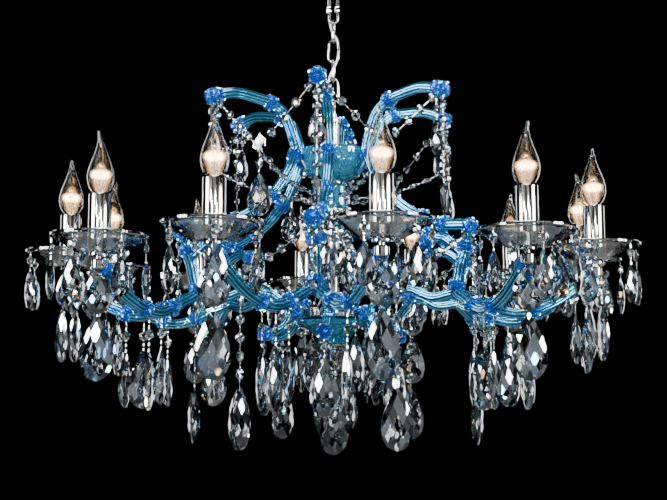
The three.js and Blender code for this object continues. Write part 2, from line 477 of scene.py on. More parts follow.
def bar_tree():
    """Sweeps a round or fluted section along the lines of a mesh."""
    tree, given = geometry_tree("bar_along_lines", [
        ("Radius", "NodeSocketFloat", 0.007), ("Sides", "NodeSocketInt", 12),
        ("Flutes", "NodeSocketInt", 0), ("Flute Depth", "NodeSocketFloat", 0.0),
        ("Material", "NodeSocketMaterial", None),
    ])
    line = put(tree, "GeometryNodeMeshToCurve", {"Mesh": given["Geometry"]})
    circle = put(tree, "GeometryNodeCurvePrimitiveCircle", {
        "Resolution": given["Sides"], "Radius": given["Radius"],
    })
    place = put(tree, "GeometryNodeInputPosition")
    split = put(tree, "ShaderNodeSeparateXYZ", {"Vector": place.outputs["Position"]})
    angle = put(tree, "ShaderNodeMath", {0: split.outputs["Y"], 1: split.outputs["X"]}, operation="ARCTAN2")
    half = put(tree, "ShaderNodeMath", {0: given["Flutes"], 1: 0.5}, operation="MULTIPLY")
    turns = put(tree, "ShaderNodeMath", {0: angle.outputs[0], 1: half.outputs[0]}, operation="MULTIPLY")
    wave = put(tree, "ShaderNodeMath", {0: turns.outputs[0]}, operation="SINE")
    lobe = put(tree, "ShaderNodeMath", {0: wave.outputs[0]}, operation="ABSOLUTE")
    valley = put(tree, "ShaderNodeMath", {0: 1.0, 1: lobe.outputs[0]}, operation="SUBTRACT")
    share = put(tree, "ShaderNodeMath", {0: given["Flute Depth"], 1: given["Radius"]}, operation="DIVIDE")
    cut = put(tree, "ShaderNodeMath", {0: valley.outputs[0], 1: share.outputs[0]}, operation="MULTIPLY")
    scale = put(tree, "ShaderNodeMath", {0: 1.0, 1: cut.outputs[0]}, operation="SUBTRACT")
    moved = put(tree, "ShaderNodeVectorMath", {
        0: place.outputs["Position"], "Scale": scale.outputs[0],
    }, operation="SCALE")
    fluted = put(tree, "GeometryNodeSetPosition", {
        "Geometry": circle.outputs["Curve"], "Position": moved.outputs[0],
    })
    # The rib's height is kept on the section for the glass colour, which paints a highlight on the crests and
    # shade in the valleys
    ribbed = put(tree, "GeometryNodeStoreNamedAttribute", {
        "Geometry": fluted.outputs["Geometry"], "Name": "ridge", "Value": lobe.outputs[0],
    }, data_type="FLOAT", domain="POINT")
    has_flutes = put(tree, "FunctionNodeCompare", {
        2: given["Flutes"], 3: 0,
    }, data_type="INT", operation="GREATER_THAN")
    section = put(tree, "GeometryNodeSwitch", {
        "Switch": has_flutes.outputs[0], "False": circle.outputs["Curve"], "True": ribbed.outputs["Geometry"],
    }, input_type="GEOMETRY")
    swept = put(tree, "GeometryNodeCurveToMesh", {
        "Curve": line.outputs["Curve"], "Profile Curve": section.outputs["Output"], "Fill Caps": True,
    })
    finish_tree(tree, swept.outputs["Mesh"], given["Material"])
    return tree


def placing_tree():
    """Puts a copy of a piece on every point, turned as the point says, plus a random spin about its own Z."""
    tree, given = geometry_tree("pieces_on_points", [
        ("Piece", "NodeSocketObject", None), ("Spin", "NodeSocketFloat", 0.0),
        ("Seed", "NodeSocketInt", 1), ("Material", "NodeSocketMaterial", None),
    ])
    piece = put(tree, "GeometryNodeObjectInfo", {"Object": given["Piece"]})
    turning = put(tree, "GeometryNodeInputNamedAttribute", {"Name": "turning"}, data_type="FLOAT_VECTOR")
    chance = put(tree, "FunctionNodeRandomValue", {2: -1.0, 3: 1.0, "Seed": given["Seed"]}, data_type="FLOAT")
    spin = put(tree, "ShaderNodeMath", {0: chance.outputs[1], 1: given["Spin"]}, operation="MULTIPLY")
    own_turn = put(tree, "ShaderNodeCombineXYZ", {"Z": spin.outputs[0]})
    whole_turn = put(tree, "FunctionNodeRotateRotation", {
        "Rotation": turning.outputs["Attribute"], "Rotate By": own_turn.outputs["Vector"],
    }, rotation_space="LOCAL")
    instances = put(tree, "GeometryNodeInstanceOnPoints", {
        "Points": given["Geometry"], "Instance": piece.outputs["Geometry"],
        "Rotation": whole_turn.outputs["Rotation"],
    })
    finish_tree(tree, instances.outputs["Instances"], given["Material"])
    return tree


BAR_TREE = bar_tree()
PLACING_TREE = placing_tree()


def grown(source, tree, values, smooth_faces):
    """Runs a tree on an object and keeps the result as a plain mesh under the same name."""
    modifier = source.modifiers.new("grown", "NODES")
    modifier.node_group = tree
    for item in tree.interface.items_tree:
        if item.in_out == "INPUT" and item.name in values:
            modifier[item.identifier] = values[item.name]
    graph = bpy.context.evaluated_depsgraph_get()
    mesh = bpy.data.meshes.new_from_object(source.evaluated_get(graph), depsgraph=graph)
    mesh.polygons.foreach_set("use_smooth", [smooth_faces] * len(mesh.polygons))
    source.modifiers.remove(modifier)
    name = source.name
    discard(source)
    made = new_object(name, mesh)
    made.name = name
    return made


def bars(name, lines, radius, material, sides=10, flutes=0, flute_depth=0.0, closed=False):
    """Round or fluted bars along lines given in millimetres."""
    vertices = []
    edges = []
    for line in lines:
        first = len(vertices)
        vertices += [Vector(point) * MM for point in line]
        edges += [(first + i, first + i + 1) for i in range(len(line) - 1)]
        if closed:
            edges.append((len(vertices) - 1, first))
    mesh = bpy.data.meshes.new(name)
    mesh.from_pydata(vertices, edges, [])
    return grown(new_object(name, mesh), BAR_TREE, {
        "Radius": radius * MM, "Sides": sides, "Flutes": flutes, "Flute Depth": flute_depth * MM,
        "Material": material,
    }, True)


def placed(name, piece, places, material, spin=0.0, seed=1, smooth_faces=False):
    """Copies of a piece at places, each a point in millimetres and its turning about X, Y and Z."""
    mesh = bpy.data.meshes.new(name)
    mesh.from_pydata([Vector(point) * MM for point, turning in places], [], [])
    turnings = mesh.attributes.new("turning", "FLOAT_VECTOR", "POINT")
    turnings.data.foreach_set("vector", [angle for point, turning in places for angle in turning])
    return grown(new_object(name, mesh), PLACING_TREE, {
        "Piece": piece, "Spin": spin, "Seed": seed, "Material": material,
    }, smooth_faces)


# ---------------------------------------------------------------- camera and supply flex

# In metres
CAMERA_DISTANCE = 1.6701
CAMERA_HEIGHT = -0.650
CAMERA_TURN = math.radians(6.606)
CAMERA_LOOKS_UP = math.radians(6.8789)

camera_data = bpy.data.cameras.new("camera")
camera_data.lens = 62.34
camera_data.sensor_width = 36
camera = bpy.data.objects.new("camera", camera_data)
camera.location = (
    CAMERA_DISTANCE * math.sin(CAMERA_TURN), -CAMERA_DISTANCE * math.cos(CAMERA_TURN), CAMERA_HEIGHT,
)
camera.rotation_euler = (math.pi / 2 + CAMERA_LOOKS_UP, 0, CAMERA_TURN)
bpy.context.scene.collection.objects.link(camera)
bpy.context.scene.camera = camera

# The chain from the ceiling down: body, and the heights of its top and bottom centre lines
CHAIN = [
    ("quick_link", -40, -108), ("chain_link_1", -104, -138), ("chain_link_2", -134, -168),
    ("chain_link_3", -164, -198), ("chain_link_4", -194, -228),
]
CEILING_HINGE = -34
COLUMN_HINGE = -226
# Heights where one piece of the chain hangs in the next, from the quick link down
CHAIN_HINGES = [(upper[2] + lower[1]) / 2 for upper, lower in zip(CHAIN, CHAIN[1:])]

FLEX_RADIUS = 1.5
FLEX_SWERVE = 6.2
FLEX_TOP = (0, -FLEX_SWERVE, -21)
FLEX_FIRST_SWERVE = -36
FLEX_LAST = [(0, 4, -240), (5.5, 0, -257)]


def flex_route():
    """The supply flex winds round the chain, through the opening of each link in turn."""
    levels = [FLEX_FIRST_SWERVE, *CHAIN_HINGES, COLUMN_HINGE]
    corners = [(-1, -1), (-1, 1), (1, 1), (1, -1), (-1, -1), (-1, 1)]
    swerves = [(x * FLEX_SWERVE, y * FLEX_SWERVE, level) for (x, y), level in zip(corners, levels)]
    return smooth([FLEX_TOP, *swerves, *FLEX_LAST], 3)


def supply_flex():
    """One length for each hinge of the chain, from the middle of one link to the middle of the next."""
    names = ["ceiling", *(link[0] for link in CHAIN), "chandelier"]
    hinges = [CEILING_HINGE, *CHAIN_HINGES, COLUMN_HINGE]
    route = flex_route()
    # The last length takes whatever is left of the route
    cuts = [0, *((top + bottom) / 2 for name, top, bottom in CHAIN), route[-1].z]
    for number, (above, below, hinge, start, end) in enumerate(
        zip(names, names[1:], hinges, cuts, cuts[1:]), 1,
    ):
        inside = [index for index, point in enumerate(route) if end <= point.z <= start]
        stretch = route[max(0, inside[0] - 1):inside[-1] + 2]
        piece = bars(f"supply_flex_{number}", [stretch], FLEX_RADIUS, FLEX, 8)
        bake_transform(piece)


supply_flex()


# ---------------------------------------------------------------- cut crystals, holes at the top

def hull(name, points, material):
    """A faceted stone: the flat faces that wrap its corner points, in millimetres."""
    shape = bmesh.new()
    for point in points:
        shape.verts.new(Vector(point) * MM)
    bmesh.ops.convex_hull(shape, input=shape.verts)
    loose = [vertex for vertex in shape.verts if not vertex.link_faces]
    bmesh.ops.delete(shape, geom=loose, context="VERTS")
    bmesh.ops.dissolve_limit(shape, angle_limit=math.radians(1.5), verts=shape.verts, edges=shape.edges)
    return from_bmesh(name, shape, material, 0)


# Half of a pear drop's outline: share of its length from the top, share of its half width
PEAR_OUTLINE = [
    (0, 0.07), (0.06, 0.22), (0.2, 0.5), (0.36, 0.77), (0.52, 0.95), (0.65, 1.0),
    (0.77, 0.95), (0.87, 0.79), (0.94, 0.57), (0.985, 0.28), (1.0, 0.04),
]
# How far down its length a drop's cuts are centred
WAIST = 0.6
# Half the edge that the cuts of the two faces leave between them
GIRDLE = 1.1
# The cuts' lattice: its columns across a drop's width, two to a rhomb, and the rows and columns that cover
# a drop, counted from the waist. Below the waist the rows are closer.
COLUMNS_ACROSS = 7.2
LATTICE_ROWS = range(-6, 5)
LATTICE_COLUMNS = range(-4, 5)
FINER = 0.75


def almond(name, width, length, thickness):
    """A flat pear-shaped drop, both faces cut in rhombs that leave a thin edge all round.

    The cuts touch two paraboloids that meet at the waist, at the points of a lattice as steep as the
    rhombs, which keeps every rhomb flat. The rhombs are longer above, where the drop thins slowly.
    """
    reach = width / 2
    column = width / COLUMNS_ACROSS
    crown = thickness / 2 - GIRDLE
    steep = crown / reach ** 2
    shape = bmesh.new()
    rings = []
    for face in (-1, 1):
        right = [Vector((x * reach, face * thickness / 2, -z * length)) * MM for z, x in PEAR_OUTLINE]
        left = [Vector((-p.x, p.y, p.z)) for p in reversed(right)]
        rings.append([shape.verts.new(point) for point in [*right, *left]])
    count = len(rings[0])
    shape.faces.new(rings[0])
    shape.faces.new(reversed(rings[1]))
    for index in range(count):
        after = (index + 1) % count
        shape.faces.new((rings[0][index], rings[1][index], rings[1][after], rings[0][after]))
    for up in LATTICE_ROWS:
        slow = crown / (length * (WAIST if up > 0 else 1 - WAIST)) ** 2
        z = up * column * math.sqrt(steep / slow) * (1 if up > 0 else FINER)
        for across in LATTICE_COLUMNS:
            if (across + up) % 2:
                continue
            x = across * column
            depth = thickness / 2 - steep * x * x - slow * z * z
            for face in (-1, 1):
                cut = bmesh.ops.bisect_plane(
                    shape, geom=[*shape.verts, *shape.edges, *shape.faces],
                    plane_co=Vector((x, face * depth, z - WAIST * length)) * MM,
                    plane_no=(2 * steep * x, face, 2 * slow * z), clear_outer=True,
                )
                rim = [item for item in cut["geom_cut"] if isinstance(item, bmesh.types.BMEdge)]
                if rim:
                    bmesh.ops.contextual_create(shape, geom=rim)
    return from_bmesh(name, shape, CRYSTAL, 0)


# Rings of an icicle's corners: share of its length, share of its half width, turn in sixths of a circle
ICICLE_RINGS = [(0, 0.3, 0), (0.08, 0.7, 0.5), (0.2, 1.0, 0), (0.45, 0.86, 0.5), (0.72, 0.5, 0)]
# Rings of an octagon's corners: share of its half width, share of its thickness, turn in eighths
OCTAGON_RINGS = [(1, 0, 0.5), (0.62, 0.42, 0), (0.3, 0.5, 0.5)]
# Share of a kite's length at which its side corners stand
KITE_SHOULDER = 0.38
# A kite's corners: share of its width, share of its length. Its flat table is this much of its size
KITE_CORNERS = [(0, 0), (0.5, -KITE_SHOULDER), (0, -1), (-0.5, -KITE_SHOULDER)]
KITE_TABLE = 0.4
# Half the wire's outline round a pin's eye: distance past the stone's hole and radius
PIN_EYE = [(1.5, 0.5), (0, 1.1), (-1.5, 0.55)]


def icicle(name, width, length, thickness):
    """A long spear: a short crown, then six flat sides drawn out to a point."""
    points = [(0, 0, -length)]
    for share, reach, turn in ICICLE_RINGS:
        for index in range(6):
            angle = (index + turn) * math.pi / 3
            points.append((
                reach * width / 2 * math.cos(angle), reach * thickness / 2 * math.sin(angle), -share * length,
            ))
    return hull(name, points, CRYSTAL)


def octagon(name):
    """The common chain bead: eight-sided, with a flat table on both faces."""
    points = []
    for index in range(8):
        for reach, depth, turn in OCTAGON_RINGS:
            angle = (index + turn) * math.pi / 4
            for face in (-1, 1):
                points.append((
                    reach * OCTAGON / 2 * math.cos(angle), face * depth * OCTAGON_THICKNESS,
                    reach * OCTAGON / 2 * math.sin(angle) - OCTAGON / 2,
                ))
    return hull(name, points, CRYSTAL)


def kite(name):
    """The four-cornered jewel that joins two garlands."""
    width, length, thickness = KITE
    points = []
    for x, z in KITE_CORNERS:
        points.append((x * width, 0, z * length))
        inner_z = -KITE_TABLE * length + (z + KITE_TABLE) * length * KITE_TABLE
        for face in (1, -1):
            points.append((x * width * KITE_TABLE, face * thickness / 2, inner_z))
    return hull(name, points, CRYSTAL)


def pin(name):
    """The wire between two stones: a shank with an eye pinched at each end."""
    upper = [(reach, z) for z, reach in PIN_EYE]
    lower = [(reach, -PIN - z) for z, reach in reversed(PIN_EYE)]
    return turned(name, [(0, 2), *upper, *lower, (0, -PIN - 2)], WIRE, 5)


STONES = {}
for kind, size in DROP_SIZES.items():
    STONES[kind] = icicle(kind, *size) if kind == "icicle" else almond(kind, *size)
STONES["octagon"] = octagon("octagon")
STONES["kite"] = kite("kite")
STONES["pin"] = pin("pin")

PETALS = 12
# Rings of a flower from the button out: reach, height and share of painted highlight, on a petal's ridge and
# in the gap
PETAL_RINGS = [
    ((2.4, 5.2, 0.9), (2.0, 4.0, 0.2)), ((4.4, 4.6, 0.35), (3.6, 2.6, 0.0)),
    ((7.4, 4.4, 1.0), (5.2, 1.4, 0.0)), ((9.6, 2.4, 0.7), (6.6, 0.2, 0.0)),
]


def rosette():
    """A pressed flower: a button in the middle and raised petals round it, its back at z = 0."""
    shape = bmesh.new()
    # Painted highlight: each corner keeps how much of the paler glass colour it takes, most on the petal
    # crests and the button, none in the gaps
    highlight_share = shape.verts.layers.float.new("ridge")
    rings = []
    for ridge, valley in PETAL_RINGS:
        ring = []
        for index in range(2 * PETALS):
            reach, height, highlight = valley if index % 2 else ridge
            vertex = shape.verts.new(polar(reach, math.pi * index / PETALS, height) * MM)
            vertex[highlight_share] = highlight
            ring.append(vertex)
        rings.append(ring)
    centre = shape.verts.new((0, 0, 5.8 * MM))
    centre[highlight_share] = 0.6
    back = shape.verts.new((0, 0, 0))
    for index in range(2 * PETALS):
        after = (index + 1) % (2 * PETALS)
        shape.faces.new((centre, rings[0][index], rings[0][after]))
        shape.faces.new((back, rings[-1][after], rings[-1][index]))
        for inner, outer in zip(rings, rings[1:]):
            shape.faces.new((inner[index], outer[index], outer[after], inner[after]))
    return from_bmesh("rosette", shape, ROSETTE_GLASS, 0)


ROSETTE = rosette()


# ---------------------------------------------------------------- where stones hang

def facing_out(point):
    """Turning about Z that shows a flat stone's face away from the column."""
    return math.atan2(point.y, point.x) + math.pi / 2


class Jewels:
    """Stones of one body, gathered by kind, then made in one go."""

    def __init__(self):
        self.places = {}

    def add(self, kind, point, turning):
        self.places.setdefault(kind, []).append((point, turning))

    def hang(self, point, kinds, turn=None, gap=PIN):
        """Hangs stones one under another from a point, with a pin above each, or more in a long gap."""
        point = Vector(point)
        turn = facing_out(point) if turn is None else turn
        for kind in kinds:
            pins = math.ceil(gap / (PIN + 4))
            for index in range(pins):
                self.add("pin", point - UP * ((index + 0.5) * gap / pins - PIN / 2), (0, 0, turn))
            point = point - UP * gap
            self.add(kind, point.copy(), (0, 0, turn))
            point = point - UP * LENGTHS[kind]
        return point

    def garland(self, start, end, sag, count):
        """Hangs a string of octagons between two points; sag is how far its middle drops."""
        start, end = Vector(start), Vector(end)
        for index in range(count):
            share = (index + 0.5) / count
            half = 0.5 / count
            ends = []
            for at in (share - half, share + half):
                ends.append(start.lerp(end, at) - UP * 4 * sag * at * (1 - at))
            middle = (ends[0] + ends[1]) / 2
            line = (ends[0] - ends[1]).normalized()
            outward = Vector((middle.x, middle.y, 0)).normalized()
            across = outward.cross(line).normalized()
            thin = line.cross(across)
            turning = tuple(Matrix((across, thin, line)).transposed().to_euler())
            self.add("octagon", middle + line * OCTAGON / 2, turning)
            self.add("pin", ends[0] + line * PIN / 2, turning)
        self.add("pin", end, (0, 0, 0))

    def make(self, name, body, *nodes, seed, spin=0.4):
        """One object of the body's stones, and one of its pins."""
        pins = placed(f"{name}_pins", STONES["pin"], self.places.pop("pin"), WIRE, smooth_faces=True)
        parts = []
        for kind, places in self.places.items():
            parts.append(placed(f"{name}_{kind}", STONES[kind], places, CRYSTAL, spin, seed))
        settle(joined(f"{name}_stones", parts), body, "clear_crystal", *nodes)
        settle(pins, body, "polished_nickel")


# ---------------------------------------------------------------- branches

def group_angle(number):
    """Bearing of a branch; the first points to the front."""
    return math.radians(60 * (number - 1) - 90)


def lamp_angle(number):
    """Bearing of a lamp; each branch carries one on either side."""
    group = (number + 1) // 2
    return group_angle(group) + (LAMP_SWING if number % 2 == 0 else -LAMP_SWING)


def arm_line(angle, side):
    """Points of the arm from a branch's fork to its lamp on one side, -1 or 1."""
    fork = polar(FORK[0], angle, 0)
    lamp = polar(LAMP_CIRCLE, angle + side * LAMP_SWING, 0)
    return [fork.lerp(lamp, share) + UP * height for share, height in ARM]


def around(place, direction, count, reach, first=0.0):
    """Rosettes round a bar, backs to it: count of them, reach millimetres from its middle."""
    direction = direction.normalized()
    side = direction.cross(UP)
    side = side.normalized() if side.length > 0.1 else Vector((1, 0, 0))
    places = []
    for index in range(count):
        facing = Matrix.Rotation(first + 2 * math.pi * index / count, 3, direction) @ side
        turning = tuple(facing.to_track_quat("Z", "Y").to_euler())
        places.append((place + facing * reach, turning))
    return places


def end_flower(place, direction):
    """One rosette that closes the end of a bar."""
    return [(place, tuple(direction.to_track_quat("Z", "Y").to_euler()))]


def nearest(line, point):
    """The place on a line closest to a point, and the line's direction there."""
    index = min(range(1, len(line) - 1), key=lambda i: (line[i] - point).length)
    return line[index], line[index + 1] - line[index - 1]


# Bunches of rosettes on a branch: places on the horn as (distance, height), and shares of an arm's way
HORN_BUNCHES = [(97, -240), (62, -313), (97, -375), (152, -416), (187, -426), (221, -459), (204, -512)]
ARM_BUNCHES = (0.27, 0.53, 0.97)
KNEE = (228, -434)
# Rosettes in a bunch, how deep their backs sit in the bar, and the distance between the two rows at the tip
BUNCH = 5
PETALS_DEEP = 2
TIP_ROW = 8

# Drops under the two lamp arms of a branch: share of the way, kind, length of each pin
ARM_DROPS = [
    [(0.26, "slim_almond", 16), (0.39, "large_almond", 13), (0.53, "slim_almond", 16)],
    [(0.5, "slim_almond", 16), (0.93, "slim_almond", 14)],
]
# Strings under the branch itself: distance from the column, height, stones
BRANCH_STRINGS = [
    (178, -250, ["octagon", "small_almond"]), (232, -438, ["octagon"] * 4),
    (106, -577, ["octagon", "large_almond"]),
]
# Hooks of the garlands, as (distance, height): at the horn's tip and knee, halfway between two branches,
# and on the column's collar
TIP_HOOK = (184, -238)
KNEE_HOOK = (230, -438)
KITE_HOOK = (168, -305)
SWAG_HOOK = (206, -494)
COLLAR_HOOK = (23, -372)
LONG_STRING = (204, -494)


def flower_places(at, horn, arms, stem, curls):
    """Where the rosettes of a branch sit: round its tip, joints and bends, and on the ends of its curls."""
    reach = BAR_RADIUS - PETALS_DEEP
    small_reach = SMALL_BAR_RADIUS - PETALS_DEEP
    outward = (horn[0] - horn[2]).normalized()
    flowers = []
    for row in (0, 1):
        flowers += around(horn[0] - outward * (row * TIP_ROW + 1), outward, BUNCH, reach, row * 0.6)
    flowers += end_flower(horn[0] + outward * 2, outward)
    for place in HORN_BUNCHES:
        flowers += around(*nearest(horn, at(place)), BUNCH, reach)
    along = at((1, 0))
    flowers += around(at(KNEE), along, BUNCH + 1, BAR_RADIUS - 1)
    flowers += end_flower(at(KNEE) + along * 6, along)
    for arm in arms:
        for share in ARM_BUNCHES:
            index = round(share * (len(arm) - 2))
            flowers += around(arm[index], arm[index + 1] - arm[index - 1], BUNCH, reach)
    for point in (stem[2], stem[len(stem) // 2]):
        flowers += around(*nearest(stem, point), BUNCH, small_reach)
    for line in curls:
        way = (line[-1] - line[-3]).normalized()
        flowers += around(line[-1], way, BUNCH, small_reach)
        flowers += end_flower(line[-1] + way * 4, way)
    return flowers


def branch_jewels(number, angle, arms):
    """The stones under a branch, and the garlands from it to the next one."""
    jewels = Jewels()
    for reach, height, kinds in BRANCH_STRINGS:
        jewels.hang(polar(reach, angle, height), kinds)
    for arm, drops in zip(arms, ARM_DROPS):
        for share, kind, gap in drops:
            point = arm[round(share * (len(arm) - 1))]
            jewels.hang(point - UP * BAR_RADIUS, ["octagon", kind], angle, gap)

    def hook(place, bearing):
        """The point of a garland's hook on a bearing, from its distance and height."""
        return polar(place[0], bearing, place[1])

    middle = angle + math.pi / GROUPS
    after = angle + 2 * math.pi / GROUPS
    kite_top = hook(KITE_HOOK, middle)
    kite_foot = kite_top - UP * KITE[1]
    for tip_angle, side in ((angle, -1), (after, 1)):
        ball = hook(TIP_HOOK, tip_angle)
        shoulder = polar(side * KITE[0] / 2, middle + math.pi / 2, 0)
        corner = kite_top - UP * KITE_SHOULDER * KITE[1] + shoulder
        jewels.garland(ball.lerp(corner, 0.05), corner, sag=1, count=4)
    jewels.add("kite", kite_top, (0, 0, facing_out(kite_top)))
    jewels.hang(kite_foot, ["octagon", "upper_almond"])
    jewels.garland(kite_foot, hook(COLLAR_HOOK, middle), sag=12, count=7)
    for knee_angle in (angle, after):
        jewels.garland(hook(KNEE_HOOK, knee_angle), hook(SWAG_HOOK, middle), sag=10, count=6)
    jewels.hang(hook(LONG_STRING, middle), ["octagon"] * 6 + ["large_almond"], gap=10)
    jewels.make(f"branch_{number}_jewels", "chandelier", seed=number)


def branch(number):
    """One branch: fluted glass bars over a silvered core, with flowers of pressed glass over each joint."""
    angle = group_angle(number)
    name = f"branch_{number}"
    turn = Matrix.Rotation(angle, 3, "Z")

    def at(place):
        """A point on the branch's own upright plane, from its distance and height."""
        return turn @ Vector((place[0], 0, place[1]))

    horn, stem, scroll, curl = (
        smooth([at(place) for place in line], BAR_STEP) for line in ([*HORN, *HOOK], STEM, SCROLL, CURL)
    )
    arms = [smooth(arm_line(angle, side), BAR_STEP) for side in (-1, 1)]
    big = [horn, *arms]
    small = [stem, scroll, curl]
    glass = joined(f"{name}_glass", [
        bars("big_bars", big, BAR_RADIUS, BLUE_GLASS, 4 * FLUTES, FLUTES, FLUTE_DEPTH),
        bars("small_bars", small, SMALL_BAR_RADIUS, BLUE_GLASS, 4 * FLUTES, FLUTES, SMALL_FLUTE_DEPTH),
    ])
    core = bars(f"{name}_core", [*big, *small], CORE_RADIUS, CORE, 8)
    petals = placed(
        f"{name}_flowers", ROSETTE, flower_places(at, horn, arms, stem, [scroll, curl]),
        ROSETTE_GLASS, 0.3, number,
    )
    settle(glass, "chandelier", "blue_glass", name)
    settle(core, "chandelier", "polished_nickel")
    settle(petals, "chandelier", "blue_glass")
    branch_jewels(number, angle, arms)


# ---------------------------------------------------------------- column, hub and finial

# Outlines from top to bottom as (radius, height)
TUBE_OUTLINE = [
    (0, -255), (10.5, -255), (10.5, -261), (8.5, -261), (8.5, -348), (15, -348.3), (15, -351.7),
    (8.5, -351.7), (8.5, -388.3), (20, -388.3), (21, -390), (21, -393), (20, -395), (8.5, -395),
    (8.5, -530), (14, -533), (44, -535), (49, -537), (49, -547), (46, -549), (20, -549.5),
    (5, -550), (5, -630), (0, -630),
]
BOWL_OUTLINE = [(51, -302), (51.3, -306), (50.5, -314), (48, -324), (38, -339), (22, -347.5), (10, -348)]
GLASS_TUBE_OUTLINE = [(15, -352.3), (17, -356), (17, -370), (17, -384), (15, -387.7)]
BELL_OUTLINE = [(48, -551), (50, -553), (45, -559), (36, -565), (24, -576), (20, -585), (12, -585.2)]
FINIAL_OUTLINE = [
    (0, -585.3), (24, -585.7), (26, -587.3), (24, -589), (12, -590.5), (10, -592), (13, -596), (9, -602),
    (6, -608), (12, -612.5), (14, -615), (12, -617.5), (5, -620), (3, -627), (0, -628),
]
EYE_HEIGHT = -233.5
EYE_RADIUS = 10
ALONG_X = Vector((1, 0, 0))
ALONG_Y = Vector((0, 1, 0))


def column():
    """The plated tube, its collars, rod and hub, and the eye that the chain holds."""
    tube = turned("column_tube_finish", TUBE_OUTLINE, NICKEL, 64)
    eye = bars("column_eye", [circle_line(EYE_HEIGHT, EYE_RADIUS, ALONG_Y)], 2, NICKEL, 12, closed=True)
    post = bars("eye_post", [[Vector((0, 0, -243)), Vector((0, 0, -256))]], 3.2, NICKEL, 12)
    settle(joined("column_metal", [tube, eye, post]), "chandelier", "polished_nickel", "column_tube")


def glass_body(name, points, slot, node, wall, ribs=0, rib_depth=0.0):
    """A blown piece: its outer outline and its wall's thickness. The floor is 0.6 of that thick."""
    outer = outline(points)
    foot = points[0][1] - wall
    inner = [(max(4.0, r - wall), z + (wall * 0.6 if z < foot else 0)) for r, z in reversed(outer)]
    piece = turned(name, [*outer, *inner], TEAL_GLASS, 96, ribs, rib_depth)
    settle(piece, "chandelier", slot, node)


def column_ends():
    """The glass bowl, tube and bell on the column, and the turned finial below them."""
    glass_body("upper_bowl_glass", BOWL_OUTLINE, "teal_glass", "upper_bowl", 2.6)
    glass_body("column_sleeve_glass", GLASS_TUBE_OUTLINE, "teal_glass", "column_glass", 3, 12, 1.0)
    glass_body("lower_bell_glass", BELL_OUTLINE, "blue_glass", "lower_bell", 3, 16, 1.6)
    finial = turned("finial_turning", outline(FINIAL_OUTLINE, 0.8), NICKEL, 48)
    settle(finial, "chandelier", "polished_nickel", "finial")


# ---------------------------------------------------------------- lamps

# A drip dish from its hole outwards above, over the rim, and back beneath, as (radius, height)
DISH_ABOVE = [(5, -476), (18, -475.6), (30, -470.5), (44, -463.8), (56, -458.6), (58.6, -456.6)]
DISH_RIM = [(60.4, -456.6), (61.2, -457.6), (61.2, -460.2), (60, -461.2)]
DISH_BENEATH = [
    (56, -462.6), (51.5, -464.4), (47, -466.8), (42.5, -469.2), (38, -471.6), (33.5, -474),
    (29, -476.3), (24.5, -478.3), (20, -480), (14, -480.3), (5, -480.2),
]
# Holes for the small drops
DISH_HOLES = 6
HOLE_CIRCLE = 58.5
HOLE_LEVEL = -459.6
# Diamonds beneath: how many in a circle, how many rings of their corners, and how deep they are cut
DIAMONDS = 30
DIAMOND_ROWS = 8
DIAMOND_DEPTH = 2.2
# Lamps at the sides carry two slim drops, the others a stack of almonds
SIDE_LAMPS = (4, 5, 10, 11)
SIDE_DROPS = (-10, 8)
# Each lamp is turned this much further than the last, in radians, so their bent tips point all ways
LAMP_TURN = 1.9


def dish(number, centre):
    """A pressed drip dish: plain above, cut in diamonds beneath, with a polished rim."""
    shape = bmesh.new()
    first_cut = len(DISH_ABOVE) + len(DISH_RIM)
    rings = []
    for row, (reach, height) in enumerate([*DISH_ABOVE, *DISH_RIM, *DISH_BENEATH]):
        cut = first_cut <= row < first_cut + DIAMOND_ROWS
        ring = []
        for index in range(2 * DIAMONDS):
            angle = math.pi * index / DIAMONDS
            drop = DIAMOND_DEPTH if cut and (row + index) % 2 else 0
            ring.append(shape.verts.new((centre + polar(reach, angle, height - drop)) * MM))
        rings.append(ring)
    for lower, upper in zip(rings, rings[1:] + rings[:1]):
        for index in range(2 * DIAMONDS):
            after = (index + 1) % (2 * DIAMONDS)
            shape.faces.new((lower[index], lower[after], upper[after], upper[index]))
    piece = from_bmesh(f"bobeche_{number}_glass", shape, DISH_GLASS, 14)
    settle(piece, "chandelier", "clear_crystal", f"bobeche_{number}")


SLEEVE_OUTLINE = [
    (0, -475.4), (14.35, -475.4), (14.35, -407), (14.1, -406.2), (13.4, -406), (12.9, -406.3), (12.8, -407.5),
    (12.8, -412), (0, -412),
]
CUP_OUTLINE = [
    (0, -475), (6, -475), (6, -480.3), (12, -480.3), (12, -483.5), (3.5, -483.5), (3.5, -487.5),
    (7, -488), (9, -490), (9, -499), (7.5, -500.6), (0, -500.6),
]
BULB_OUTLINE = [
    (6.4, -409), (9.5, -404.5), (14.2, -398), (17.1, -389), (17.2, -381), (14.8, -370), (10.2, -358),
    (6.0, -346), (3.3, -336), (1.9, -328), (0, -324.5),
]
CAP_OUTLINE = [(0, -412), (6.8, -412), (6.8, -408.5), (6.2, -407.8), (0, -407.8)]
STEM_OUTLINE = [
    (0, -410), (4.5, -409), (4.0, -402), (2.2, -395), (1.3, -388), (1.1, -377), (1.9, -374.5), (0, -373.5),
]
# Outline of the painted glare halo, a glowing shell round the hot wire
GLOW_OUTLINE = [
    (0, -389.5), (8, -388.5), (13.5, -385.2), (15, -381), (13.5, -376.8), (8, -373.5), (0, -372.5),
]
BULB_WALL = 0.35
TIP_FOOT = -352
TIP_LENGTH = 28
TIP_BEND = 5.0
ZIGZAGS = 16
CAGE_RADIUS = 8.0
CAGE_FOOT = -384.5
CAGE_TOP = -378
# One hook that holds the wire: distance from the bulb's middle, height
SUPPORT = [(2.4, -402), (4.6, -394), (7.4, CAGE_FOOT)]


def bent(point):
    """The drawn-out tip of a candle lamp leans to one side."""
    lean = max(0.0, (point.z / MM - TIP_FOOT) / TIP_LENGTH)
    point.x += TIP_BEND * lean * lean * MM
    return point


